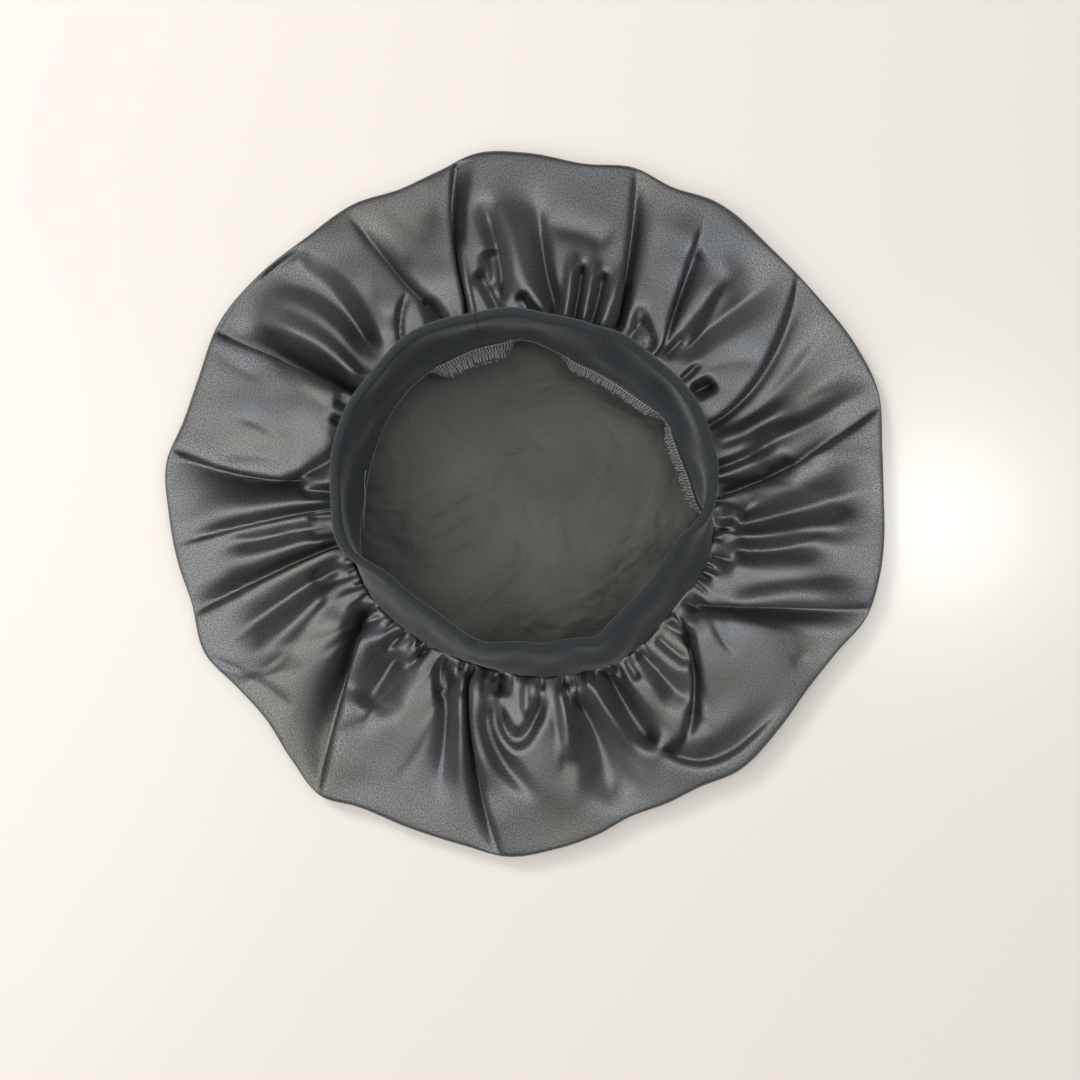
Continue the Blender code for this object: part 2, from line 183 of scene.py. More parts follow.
# Radii of the band's upper edge and of its seam, which give how it leans.
Lean = namedtuple("Lean", "deg top seam")
BAND = table(
    Lean,
    (0, 93, 88.5), (7, 96, 85.5), (15, 97.5, 83), (30, 99.5, 82), (45, 98, 77), (60, 95, 75.5),
    (75, 93, 76.5), (90, 94.5, 82), (105, 98, 82.5), (120, 102, 82), (135, 101, 82.5),
    (150, 101.5, 82), (165, 100.5, 81.5), (180, 96.5, 83), (195, 93.5, 88), (210, 80, 91.5),
    (225, 75, 89.5), (240, 73.5, 87), (251, 76, 85.5), (262, 73, 87), (277, 71.5, 90),
    (290, 75, 91.5), (297, 80, 93), (307, 76, 93.5), (320, 75, 92.5), (330, 75, 94),
    (340, 76, 97), (347, 80, 96), (354, 88, 93),
)
KINKS_DEG = (251.0, 297.0)

# Where the seam allowance stands in from the band: its tilt up from level, its width over the usual one.
Shown = namedtuple("Shown", "from_deg to_deg tilt wider")
SHOWN_STRETCHES = table(
    Shown, (-5.0, 27.0, -38.0, 1.0), (33.0, 74.0, -30.0, 1.0), (96.0, 124.0, 8.0, 1.35),
)

# Section of the bag from the floor's edge on the table up round the rim and in to the band.
# share: how far in from the rim towards the band; height; how much of each fold and gather reaches it.
Level = namedtuple("Level", "share height folding gather")
SECTION = table(
    Level,
    (0.12, 0.0, 0.0, 0.0), (0.05, 0.2, 0.0, 0.0), (0.012, 1.6, 0.0, 0.0), (0.0, 6.4, 0.05, 0.0),
    (0.002, 9.2, 0.15, 0.0), (0.006, 10.2, 0.2, 0.0), (0.016, 10.7, 0.3, 0.0), (0.05, 11.2, 0.45, 0.0),
    (0.12, 12.0, 0.65, 0.0), (0.2, 13.2, 0.8, 0.0), (0.32, 15.4, 0.92, 0.0), (0.48, 19.0, 0.95, 0.1),
    (0.64, 22.6, 1.0, 0.4), (0.78, 24.8, 1.0, 0.9), (0.88, 24.6, 0.95, 1.0), (0.95, 23.2, 0.7, 1.0),
    (1.0, 21.0, 0.0, 0.6),
)

# Folds of the satin. Each runs from one place past another to a third and lies lower by its depth, or higher
# where that is negative. A crease drops steeply on its narrower side and is gentle on its wider one; with
# equal sides it is a slit. Other folds are soft valleys or ridges. Left and right are as seen along the way.
CREASE = "crease"
ROUND = "round"
FOLD_COLUMNS = "from_deg from_mm by_deg by_mm to_deg to_mm left_mm right_mm depth form"
Fold = namedtuple("Fold", FOLD_COLUMNS, defaults=(ROUND,))
FOLDS = table(
    Fold,
    # right side, up to 60 degrees
    (0, 92, 8, 140, 17.5, 206, 8, 3, 9, CREASE),
    (13, 116, 15, 147, 19, 200, 5, 5, 7),
    (16.5, 98, 18, 124, 19.5, 146, 4, 4, -3),
    (20, 104, 24, 142, 31, 184, 5, 5, 4),
    (22, 92, 30, 142, 44, 196, 3, 5, 8, CREASE),
    (43, 106, 43, 132, 41, 184, 5, 5, 6),
    (47, 92, 50, 124, 50, 168, 5, 5, -3),
    (47, 98, 53, 126, 58, 174, 3, 8, 9, CREASE),
    (54, 150, 54, 166, 54, 190, 12, 12, -3),
    # top right, 60 to 120
    (61.5, 90, 67.3, 131, 72.5, 190, 3, 5, 12, CREASE),
    (67.4, 90, 68, 106, 69, 126, 3.2, 3.2, -5),
    (72.2, 90, 73, 107, 74.2, 128, 3.2, 3.2, -5),
    (77.8, 90, 78.2, 107, 79, 128, 3.2, 3.2, -5),
    (72, 136, 79, 139, 88, 140, 4, 4, 3),
    (79.8, 94, 85.5, 120, 88, 156, 3, 3, 10),
    (82, 96, 92, 119, 93.4, 178, 6.5, 6.5, -5),
    (97.6, 102, 96.2, 126, 99.2, 158, 3, 3, 9),
    (106.4, 94, 105.8, 118, 105, 142, 2.5, 2.5, -4),
    (98, 200, 105, 149, 108, 90, 4, 3, 13, CREASE),
    (113.6, 98, 119.8, 128, 122, 182, 2.5, 5, 8, CREASE),
    # top left, 120 to 180
    (126, 108, 126, 145, 126, 186, 8, 8, -3),
    (154, 176, 141, 175, 132, 162, 5, 5, 8),
    (140, 180, 134, 147, 137, 104, 4.5, 4.5, 15),
    (145, 100, 143, 136, 147.5, 164, 4.5, 4.5, -6),
    (149, 96, 150, 126, 151.5, 152, 3.5, 3.5, 6),
    (149, 92, 150.5, 132, 152, 202, 2.5, 8, 15, CREASE),
    (161, 100, 161, 140, 161, 190, 15, 15, -2),
    (160.5, 96, 170, 107, 174, 124, 7, 2.5, 8, CREASE),
    (174, 108, 174.5, 147, 171, 196, 7, 3, 10, CREASE),
    # left side, 180 to 240
    (181, 94, 182, 138, 188, 188, 6, 6, -3),
    (182.5, 92, 184.5, 130, 188, 202, 2.5, 4, 5, CREASE),
    (187.3, 94, 188, 120, 188.8, 166, 3, 3, 4),
    (190.5, 96, 191.5, 134, 193, 180, 5, 5, -3),
    (193.2, 92, 196.3, 134, 200, 204, 2.5, 4, 7, CREASE),
    (200, 94, 202, 128, 206.5, 178, 4, 4, 6),
    (205.5, 186, 213, 160, 210.5, 138, 4, 4, -2, CREASE),
    (212, 170, 206.5, 124, 201, 92, 4, 4, -4),
    (214, 106, 216, 140, 216, 182, 15, 15, -3),
    (214, 92, 225.5, 128, 237, 206, 3, 9, 15, CREASE),
    (230, 100, 231, 115, 232, 134, 9, 9, 12),
    # bottom, 240 to 300
    (240.6, 88, 250, 118, 253.5, 162, 4, 4, 8),
    (250, 90, 253.5, 115, 258, 164, 5, 5, -5),
    (253, 86, 258.5, 128, 268, 204, 3, 4, 14, CREASE),
    (257, 92, 259.5, 118, 265, 150, 3, 3, -4),
    (260, 104, 263.5, 127, 273, 154, 2.5, 2.5, 7),
    (261, 100, 268, 121, 276, 97, 2.5, 2.5, 9),
    (272, 108, 273, 132, 273, 166, 10, 10, -2),
    (281, 94, 280.5, 112, 279, 136, 4, 4, -5),
    (283.5, 100, 287, 132, 285, 166, 6, 6, 12),
    (290.3, 92, 291.3, 117, 298, 154, 3.5, 3.5, -6),
    (296, 90, 296, 116, 297.8, 144, 5, 5, 16),
    # bottom right, 300 to 360
    (299, 154, 312.7, 124, 325, 88, 3, 4, 10, CREASE),
    (306, 94, 308, 112, 308, 132, 5, 5, 7),
    (298, 142, 307, 163.5, 323, 164, 6, 3, 11, CREASE),
    (322, 104, 324, 140, 326, 182, 20, 20, -3),
    (327.7, 98, 337.5, 139, 344.5, 206, 3, 5, 12, CREASE),
    (333, 114, 341, 144, 345, 192, 4, 4, -4),
    (347, 104, 349, 128, 355, 160, 5, 5, 8),
    (350, 104, 353, 138, 358, 184, 4, 4, -4),
    (353, 104, 358, 138, 363, 186, 5, 5, 8),
)
# Short openings and ridges between the gathers, close to the band.
POCKETS = table(
    Fold,
    (6, 120, 7, 127, 9, 137, 5, 5, 6),
    (9.5, 90, 10.5, 108, 13.5, 132, 2.5, 2.5, 7),
    (32.7, 100, 32.4, 106, 32.2, 113, 3.2, 3.2, 15),
    (38, 99, 38, 105, 38.4, 112, 1.6, 1.6, 6),
    (46, 100, 46, 108, 46, 116, 2.5, 2.5, 6),
    (51, 96, 55, 105, 61, 113, 3.5, 3.5, 6),
    (57.5, 93, 57.5, 101, 57.5, 109, 4, 4, 7),
    (64.6, 86, 65, 104, 66, 122, 3, 3, 9),
    (69.7, 86, 70.4, 106, 71.8, 124, 3, 3, 11),
    (75.2, 86, 75.7, 106, 76.8, 125, 3, 3, 11),
    (88, 92, 90, 99, 92, 104, 3, 3, 6),
    (98.8, 108, 98.4, 118, 98, 129, 4, 4, 9),
    (102.8, 119, 100, 107, 97.5, 92, 3, 3, 10),
    (117, 92, 117, 105, 117, 114, 4, 4, 7),
    (120, 122, 125, 111, 129, 100, 3, 3, 5, CREASE),
    (153, 96, 153, 104, 153, 110, 2.5, 2.5, 6),
    (157, 96, 157, 102, 157, 108, 2, 2, 5),
    (177.5, 92, 177.5, 105, 177.5, 114, 3, 3, 8),
    (185.2, 92, 185.2, 103, 185.2, 111, 3, 3, 7),
    (189.5, 94, 189.5, 103, 189.5, 112, 2.5, 2.5, 6),
    (203, 94, 203, 107, 203, 116, 5, 5, 10),
    (205, 182, 213, 165, 222, 158, 2, 5, 3, CREASE),
    (219.5, 93, 219.5, 100, 219.5, 108, 4, 4, 8),
    (227, 90, 227, 97, 227, 104, 3, 3, 7),
    (235, 88, 235, 96, 235, 104, 2.5, 2.5, 6),
    (241, 86, 244, 100, 248, 112, 3, 3, 6, CREASE),
    (249, 88, 249, 97, 249, 106, 6, 6, 7),
    (262.5, 84, 262.6, 92, 263, 100, 4, 4, 9),
    (269, 88, 270, 99, 270, 110, 3, 3, -5),
    (282, 86, 282, 97, 282, 108, 2.5, 2.5, 8),
    (302, 90, 302, 99, 302, 108, 2.5, 2.5, 7),
    (314, 94, 314, 106, 314, 116, 4, 4, 8),
    (318, 90, 318, 101, 318, 112, 3.5, 3.5, 8),
    (321.5, 88, 321.5, 97, 321.5, 106, 4, 4, -4),
    (327.5, 88, 327.5, 98, 327.5, 106, 5, 5, 10),
    (329, 157, 330, 159.5, 331.5, 162, 1, 2.5, 1.6, CREASE),
    (343.5, 96, 343.5, 104, 343.5, 111, 5, 5, 8),
    (348, 98, 354, 106, 361, 124, 3, 3, -5),
    (355, 90, 355, 101, 355, 112, 7, 7, 9),
)
FOLD_SAMPLES = 14
DEEPER = 1.46  # on the depths of the folds and the faint creases
GENTLE_WIDER = 1.6  # a crease's gentle side, over its width in the table
GENTLE = 2.0  # how hollow that side is, 1 for straight
RIDGE_WIDER = 1.5
VALLEY_WIDER = 1.8
VALLEY = 1.5  # how hollow a valley's walls are, 1 for straight
STEEP_MM = 1.6  # a crease's steep side, and the lip of cloth that rolls over it
LIP_MM = 7.0
LIP = 0.35
OVERHANG = 0.4  # how far a lip reaches over its crease, for each millimetre of depth
FADE_INNER = 0.15  # share of a fold over which it starts, at its end near the band
FADE_OUTER = (0.22, 0.34)  # the same at its other end: its length over FADE_FULL_MM, within these
FADE_FULL_MM = 200.0
SPREAD_FROM = 112.0  # radius from which folds widen towards the rim
SPREAD = 1.7
FINEST_WAVES = 280  # in the folds, round the bonnet
ROUNDINGS = 2  # of the folds from ring to ring

# Gathers sewn into the band: how many, and the range of each one's size.
GATHER_SEED = 11
GATHERS = 84
GATHER_SPACING = (0.35, 2.0)  # shares of an even spacing
GATHER_REACH_MM = (5.0, 30.0)
GATHER_HALF_WIDTH_MM = (1.3, 3.8)
GATHER_FLARE_MM = 30.0  # this far out from the band, a gather is twice as wide
GATHER_HEIGHT_MM = (1.2, 5.6)
GATHER_LOWER = 0.5  # share of their mean height by which the satin lies lower for them
GATHER_DRIFT_DEG = 3.5
# The pits between gathers, close under the band.
PIT_REACH_MM = (3.0, 13.0)
PIT_HALF_WIDTH_MM = (0.8, 1.9)
PIT_DEPTH_MM = (1.0, 10.0)
PIT_FULL = 1.5  # a pit has its full depth for the first third of its reach
PIT_AWAY_DEG = 2.2

# Where the satin lies in wide calm panels: degrees round, share of the gathering that it is spared.
Calm = namedtuple("Calm", "deg calm")
CALM = table(
    Calm,
    (6, 0.0), (16, 0.4), (25, 0.4), (30, 1.0), (36, 1.0), (41, 0.1), (52, 0.3), (60, 0.2), (65, 0.9),
    (80, 0.9), (86, 0.3), (91, 0.5), (99, 0.0), (117, 0.2), (126, 0.6), (134, 0.1), (147, 0.2),
    (154, 0.8), (170, 0.85), (176, 0.2), (190, 0.0), (204, 0.3), (214, 0.7), (222, 0.5), (230, 0.0),
    (243, 0.3), (257, 0.0), (268, 0.3), (278, 0.5), (286, 0.0), (300, 0.4), (312, 0.85), (330, 0.85),
    (338, 0.3), (350, 0.0),
)

# Slight creases here and there.
FAINT_SEED = 21
FAINT_CREASES = 46
FAINT_START_MM = (98.0, 150.0)
FAINT_LENGTH_MM = (16.0, 55.0)
FAINT_TURN_DEG = (-8.0, 8.0)
FAINT_DEPTH = (0.3, 1.2)
FAINT_SIDES_MM = (2.0, 5.0)
# Soft dents all over.
DENT_SEED = 3
DENT_WAVES = 26
DENT_MM = (14.0, 60.0)
DENT_SLOPE = 0.0045


# -------- shape: helpers
def hex_to_linear(code):
    """Linear red, green, blue and alpha of an sRGB hex colour."""
    channels = [int(code[i:i + 2], 16) / 255 for i in (1, 3, 5)]
    return tuple(c / 12.92 if c <= 0.04045 else ((c + 0.055) / 1.055) ** 2.4 for c in channels) + (1.0,)


def steps_of(count):
    """Angles of a closed round of sections, in degrees."""
    return np.arange(count) * 360.0 / count


def ease(t):
    """0 to 1 with soft ends."""
    t = np.clip(t, 0.0, 1.0)
    return t * t * (3.0 - 2.0 * t)


def around(rows, column, degrees):
    """A smooth closed curve through one column of a table, read at each angle."""
    at = np.array([row.deg for row in rows], float)
    value = np.array([getattr(row, column) for row in rows], float)
    at = np.concatenate((at[-2:] - 360.0, at, at[:3] + 360.0))
    value = np.concatenate((value[-2:], value, value[:3]))
    slope = np.gradient(value, at)
    degrees = np.mod(degrees, 360.0)
    right = np.clip(np.searchsorted(at, degrees, side="right"), 1, len(at) - 1)
    left = right - 1
    span = at[right] - at[left]
    t = (degrees - at[left]) / span
    rise = (2 * t**3 - 3 * t**2 + 1) * value[left] + (3 * t**2 - 2 * t**3) * value[right]
    bend = (t**3 - 2 * t**2 + t) * slope[left] + (t**3 - t**2) * slope[right]
    return rise + bend * span


def polar(radius, degrees):
    """Flat x and y of a radius and an angle round the head opening."""
    radians = np.radians(degrees)
    return radius * np.cos(radians), radius * np.sin(radians)


def true_place(x, y, height):
    """Where a point at this height is, when from above it looks to be at x, y on the table."""
    nearness = 1.0 - height / EYE_HEIGHT
    return EYE_X + (x - EYE_X) * nearness, EYE_Y + (y - EYE_Y) * nearness


def middle_of_rim():
    """Middle of the rim's box in the solids, which is their origin."""
    degrees = steps_of(CAD_STEPS)
    x, y = true_place(*polar(around(RIM, "radius", degrees), degrees), CAD_RIM_HEIGHT)
    return np.array(((x.min() + x.max()) / 2.0, (y.min() + y.max()) / 2.0, 0.0))


MIDDLE = middle_of_rim()


def placed(radius, degrees, height):
    """Real places, in millimetres from the bonnet's origin, of points read from the tables."""
    x, y = true_place(*polar(radius, degrees), height)
    return np.stack(np.broadcast_arrays(x, y, height), axis=-1) - MIDDLE

def turned(degrees):
    """The same angles between -180 and 180 degrees."""
    return np.mod(degrees + 180.0, 360.0) - 180.0


def smooth_section(rows, spacing, across):
    """Places on a smooth curve through a table's rows, and how far along it each one lies.

    spacing is a table like SATIN_RINGS, and across is the length of the first column's unit.
    """
    knots = np.array(rows, float)
    ends = np.concatenate((2 * knots[:1] - knots[1:2], knots, 2 * knots[-1:] - knots[-2:-1]))[:, None]
    before, here, after, beyond = ends[:-3], ends[1:-2], ends[2:-1], ends[3:]
    t = np.linspace(0.0, 1.0, CURVE_STEPS, endpoint=False)[:, None]
    curve = 0.5 * (
        2 * here + (after - before) * t + (2 * before - 5 * here + 4 * after - beyond) * t**2
        + (3 * here - before - 3 * after + beyond) * t**3
    )
    fine = np.concatenate((curve.reshape(-1, knots.shape[1]), knots[-1:]))
    steps = np.hypot(np.diff(fine[:, 0]) * across, np.diff(fine[:, 1]))
    length = np.concatenate(([0.0], np.cumsum(steps)))
    shares, steps_mm = zip(*spacing)
    at = [0.0]
    while at[-1] < length[-1]:
        at.append(at[-1] + np.interp(at[-1] / length[-1], shares, steps_mm))
    at = np.array(at) * length[-1] / at[-1]
    return np.stack([np.interp(at, length, column) for column in fine.T], axis=-1), at


# -------- shape: folds and gathers
def fold_curve(fold):
    """Points along a fold, on the curve through its three places."""
    start = np.array(polar(fold.from_mm, fold.from_deg))
    by = np.array(polar(fold.by_mm, fold.by_deg))
    end = np.array(polar(fold.to_mm, fold.to_deg))
    handle = 2.0 * by - (start + end) / 2.0
    t = np.linspace(0.0, 1.0, FOLD_SAMPLES)[:, None]
    return (1 - t) ** 2 * start + 2 * t * (1 - t) * handle + t**2 * end


def crease_across(fold, distance, width, on_left):
    """Across a crease: share of its depth, and how far its lip is pushed to the left, over the crease."""
    steep = (1.0 + LIP) * np.exp(-distance / STEEP_MM) - LIP * np.exp(-distance / LIP_MM)
    if fold.left_mm == fold.right_mm:
        return steep, np.zeros(distance.shape)
    gentle = np.clip(1.0 - distance / (width * GENTLE_WIDER), 0.0, 1.0) ** GENTLE
    steep_left = fold.left_mm < fold.right_mm
    on_steep = on_left == steep_left
    lip = np.where(on_steep, 1.0, 0.0) * (1.0 - np.exp(-((distance / STEEP_MM) ** 2)))
    lip = lip * np.exp(-((distance / LIP_MM) ** 2))
    return np.where(on_steep, steep, gentle), lip * OVERHANG * fold.depth * (-1.0 if steep_left else 1.0)


def round_across(fold, distance, width):
    """Across a soft valley, or a ridge where the depth is negative: share of its depth."""
    if fold.depth > 0:
        return np.clip(1.0 - distance / (width * VALLEY_WIDER), 0.0, 1.0) ** VALLEY
    return np.cos(np.clip(distance / (width * RIDGE_WIDER), 0.0, 1.0) * math.pi / 2) ** 2


def fold_effect(fold, x, y):
    """How far one fold lowers the satin at each x, y, and how far it pushes a crease's lip sideways."""
    curve = fold_curve(fold)
    nearest = np.full(x.shape, np.inf)
    depth = np.zeros(x.shape)
    push = np.zeros(x.shape + (2,))
    fade_outer = np.clip(math.hypot(*(curve[-1] - curve[0])) / FADE_FULL_MM, *FADE_OUTER)
    spread = np.maximum(np.hypot(x, y) / SPREAD_FROM, 1.0) ** SPREAD
    for index in range(FOLD_SAMPLES - 1):
        start = curve[index]
        way = curve[index + 1] - start
        length = math.hypot(*way)
        away_x, away_y = x - start[0], y - start[1]
        along = np.clip((away_x * way[0] + away_y * way[1]) / length**2, 0.0, 1.0)
        distance = np.hypot(away_x - along * way[0], away_y - along * way[1])
        on_left = way[0] * away_y - way[1] * away_x > 0
        width = spread * np.where(on_left, fold.left_mm, fold.right_mm)
        if fold.form == CREASE:
            section, over = crease_across(fold, distance, width, on_left)
        else:
            section, over = round_across(fold, distance, width), np.zeros(x.shape)
        share = (index + along) / (FOLD_SAMPLES - 1)
        inner, outer = (share, 1.0 - share) if fold.from_mm < fold.to_mm else (1.0 - share, share)
        fade = ease(inner / FADE_INNER) * ease(outer / fade_outer)
        nearer = distance < nearest
        nearest = np.where(nearer, distance, nearest)
        depth = np.where(nearer, fold.depth * section * fade, depth)
        normal = np.array((-way[1], way[0])) / length
        push = np.where(nearer[..., None], (over * fade)[..., None] * normal, push)
    return depth, push


def folds_together(folds, x, y):
    """The effect of several folds: depth, and push sideways."""
    depth = np.zeros(x.shape)
    push = np.zeros(x.shape + (2,))
    for fold in folds:
        lowered, pushed = fold_effect(fold, x, y)
        depth += lowered
        push += pushed
    return depth, push


def gather_height(radius, degrees, edge):
    """How far the gathers sewn into the band lift the satin, and the pits between them lower it."""
    draw = np.random.default_rng(GATHER_SEED)
    lift = np.zeros(radius.shape)
    out = radius - edge
    spaced = np.cumsum(draw.uniform(*GATHER_SPACING, GATHERS))
    for middle in spaced * 360.0 / spaced[-1]:
        reach = GATHER_REACH_MM[0] + (GATHER_REACH_MM[1] - GATHER_REACH_MM[0]) * draw.uniform() ** 2
        half_width = draw.uniform(*GATHER_HALF_WIDTH_MM)
        height = draw.uniform(*GATHER_HEIGHT_MM)
        drift = draw.uniform(-GATHER_DRIFT_DEG, GATHER_DRIFT_DEG)
        turn = turned(degrees - middle - drift * out / GATHER_REACH_MM[1])
        distance = np.abs(np.radians(turn)) * radius
        side = np.clip(distance / (half_width * (1.0 + out / GATHER_FLARE_MM)), 0.0, 1.0)
        lift += height * np.cos(side * math.pi / 2) ** 2 * ease(1.0 - out / reach)
        pit_reach, pit_half = draw.uniform(*PIT_REACH_MM), draw.uniform(*PIT_HALF_WIDTH_MM)
        off = np.abs(np.radians(turn - PIT_AWAY_DEG)) * radius
        pit = draw.uniform(*PIT_DEPTH_MM) * np.cos(np.clip(off / pit_half, 0.0, 1.0) * math.pi / 2)
        lift -= pit * ease(PIT_FULL * (1.0 - out / pit_reach))
    return (lift - np.mean(GATHER_HEIGHT_MM) * GATHER_LOWER) * (1.0 - around(CALM, "calm", degrees))


def softened(rings):
    """The same values, a row for each ring, with their sharpest turns rounded off."""
    waves = np.fft.rfft(rings, axis=1)
    waves *= np.exp(-((np.arange(waves.shape[1]) / FINEST_WAVES) ** 2))
    soft = np.fft.irfft(waves, n=rings.shape[1], axis=1)
    for _ in range(ROUNDINGS):
        soft[2:-1] = soft[1:-2] * 0.25 + soft[2:-1] * 0.5 + soft[3:] * 0.25
    return soft


# -------- shape: meshes
def ring_faces(rings, steps, closed=False):
    """Four-sided faces between neighbouring rings of points, and from the last to the first if closed."""
    below = np.arange(rings if closed else rings - 1)[:, None] * steps
    here = np.arange(steps)[None, :]
    after = (here + 1) % steps
    corners = (below + here, below + after, below + steps + after, below + steps + here)
    return np.stack(corners, axis=-1).reshape(-1, 4) % (rings * steps)


def piece_from(name, places, faces, materials=()):
    """A smooth-shaded object from places in millimetres."""
    data = bpy.data.meshes.new(name)
    data.from_pydata((np.asarray(places) * MM).tolist(), [], [list(face) for face in faces])
    data.update()
    data.shade_smooth()
    for material in materials:
        data.materials.append(material)
    made = bpy.data.objects.new(name, data)
    bpy.context.scene.collection.objects.link(made)
    return made


def lay_grain(piece, flat_x, flat_y, round_mm=0.0):
    """Writes the cloth's flat pattern, in metres, as the piece's UV map, one value for each point.

    Where the cloth is a strip round_mm long that meets itself, its last faces run on past its end.
    """
    layer = piece.data.uv_layers.new(name="grain")
    corner = np.zeros(len(piece.data.loops), int)
    piece.data.loops.foreach_get("vertex_index", corner)
    across = flat_x[corner]
    if round_mm:
        of_face = across.reshape(-1, 4)
        past_end = of_face.max(1, keepdims=True) - of_face > round_mm / 2
        across = np.where(past_end, of_face + round_mm, of_face).ravel()
    flat = np.stack((across, flat_y[corner]), axis=-1) * MM
    layer.data.foreach_set("uv", flat.astype(np.float32).ravel())


def thicken(piece, thick, inner_material=0):
    """Gives a sheet of cloth its thickness, inwards from the face that is modelled."""
    shell = piece.modifiers.new("cloth_thickness", "SOLIDIFY")
    shell.thickness = thick * MM
    shell.offset = -1.0
    shell.use_rim = True
    shell.material_offset = inner_material


def band_line(degrees):
    """At each angle, the radii of the band's foot and top as seen from above, and how high it rises."""
    top = around(BAND, "top", degrees)
    seam = around(BAND, "seam", degrees)
    top_x, top_y = true_place(*polar(top, degrees), BAND_TOP_GUESS)
    seam_x, seam_y = true_place(*polar(seam, degrees), BAND_FOOT)
    lean = np.hypot(top_x, top_y) - np.hypot(seam_x, seam_y)
    rise = np.sqrt(BAND_WIDTH**2 - lean**2)
    for kink in KINKS_DEG:
        rise = rise - KINK_DROP * ease(1.0 - np.abs(degrees - kink) / KINK_REACH_DEG)
    return seam, top, rise


def band_face(degrees, height, side):
    """Radius of the band's outer (side 1) or inner (side -1) face at a height near its foot."""
    seam, top, rise = band_line(degrees)
    length = np.hypot(top - seam, rise)
    half = side * BAND_THICK / 2.0
    foot_r = seam + rise / length * half
    middle_r = (seam + top) / 2.0 + rise / length * (BAND_BOW + half)
    middle_z = BAND_FOOT + rise / 2.0 - (top - seam) / length * (BAND_BOW + half)
    share = (height - BAND_FOOT) / (middle_z - BAND_FOOT)
    return foot_r + (middle_r - foot_r) * share


def how_shown(degrees):
    """Of the seam allowance: 1 where it stands in from the band, 0 where it hangs; its tilt; its width."""
    shown, tilt, wider = np.zeros((3,) + np.shape(degrees))
    for stretch in SHOWN_STRETCHES:
        away = np.abs(turned(degrees - (stretch.from_deg + stretch.to_deg) / 2.0))
        here = ease(((stretch.to_deg - stretch.from_deg) / 2.0 - away) / TURN_OVER_DEG + 0.5)
        shown += here
        tilt += here * math.radians(stretch.tilt)
        wider += here * (stretch.wider - 1.0)
    return shown, tilt, ALLOWANCE_WIDTH * (1.0 + wider)


def ruffles(radians):
    """The ruffle's waves round the band, unevenly spaced and unevenly high."""
    waves = np.sin(RUFFLES * radians + RUFFLE_CROWDING * np.sin(RUFFLE_CROWDS * radians))
    return waves * (1.0 - RUFFLE_CHANGE + RUFFLE_CHANGE * np.sin(RUFFLE_CHANGES * radians + RUFFLE_START))


def allowance_place(degrees, share, above):
    """A place on the seam allowance: share of its width in from the seam, height over the cloth's middle."""
    foot = band_face(degrees, BAND_FOOT, -1)
    slope = (band_face(degrees, BAND_FOOT + FACE_RISE, -1) - foot) / FACE_RISE
    way_z = 1.0 / np.hypot(1.0, slope)
    way_r = slope * way_z
    hanging = np.radians(HANGING_TILT) - np.arctan2(way_z, way_r)
    shown, shown_tilt, width = how_shown(degrees)
    hidden = 1.0 - shown
    tilt = hanging * hidden + shown_tilt
    clear = GAP + ALLOWANCE_THICK / 2.0
    root_r = foot + slope * (ALLOWANCE_HEIGHT - BAND_FOOT) - clear * way_z + HIDDEN_OUT * hidden
    root_z = ALLOWANCE_HEIGHT + clear * way_r - HIDDEN_DOWN * hidden
    curl = HANGING_CURL * hidden + LEAST_CURL
    inward = width * (np.sin(tilt) - np.sin(tilt - curl * share)) / curl
    upward = width * (np.cos(tilt - curl * share) - np.cos(tilt)) / curl
    tilt = tilt - curl * share
    up = share * RUFFLE * ruffles(np.radians(degrees)) + above
    return placed(root_r - inward + up * np.sin(tilt), degrees, root_z + upward + up * np.cos(tilt))


# -------- materials
def socket_of(node, name):
    """A node's input by its place, such as i0, or by its name with underscores."""
    by_place = name[0] == "i" and name[1:].isdigit()
    return node.inputs[int(name[1:]) if by_place else name.replace("_", " ")]


def add_node(tree, kind, settings=None, **sockets):
    """A node with its settings, each socket linked if it is given another node's output and set otherwise."""
    made = tree.nodes.new(kind)
    for name, value in (settings or {}).items():
        setattr(made, name, value)
    for name, value in sockets.items():
        if isinstance(value, bpy.types.NodeSocket):
            tree.links.new(value, socket_of(made, name))
        else:
            socket_of(made, name).default_value = value
    return made


def grain_of(tree):
    """The cloth's flat pattern, in metres."""
    return add_node(tree, "ShaderNodeUVMap", {"uv_map": "grain"}).outputs["UV"]


def noise(tree, pattern, per_m, detail=2.0, distortion=0.0):
    """Soft random spots, so many to the metre."""
    return add_node(
        tree, "ShaderNodeTexNoise", Vector=pattern, Scale=per_m, Detail=detail, Distortion=distortion,
    ).outputs[0]


def reach(tree, value, given, wanted=(0.0, 1.0), way="LINEAR"):
    """A value brought from one range to another."""
    return add_node(
        tree, "ShaderNodeMapRange", {"interpolation_type": way}, i0=value, i1=given[0], i2=given[1],
        i3=wanted[0], i4=wanted[1],
    ).outputs[0]


def math_of(tree, operation, *values):
    """What one operation makes of its values."""
    sockets = {f"i{place}": value for place, value in enumerate(values)}
    return add_node(tree, "ShaderNodeMath", {"operation": operation}, **sockets).outputs[0]


def blend(tree, share, first, second):
    """A colour on the way from a hex colour to another one, or to a node's colour."""
    second = hex_to_linear(second) if isinstance(second, str) else second
    return add_node(
        tree, "ShaderNodeMix", {"data_type": "RGBA"}, i0=share, i6=hex_to_linear(first), i7=second,
    ).outputs[2]


def bump(tree, height, strength, rise, **under):
    """The surface's direction where a pattern stands out by rise millimetres, over another bump if given."""
    return add_node(
        tree, "ShaderNodeBump", Strength=strength, Distance=rise * MM, Height=height, **under,
    ).outputs[0]


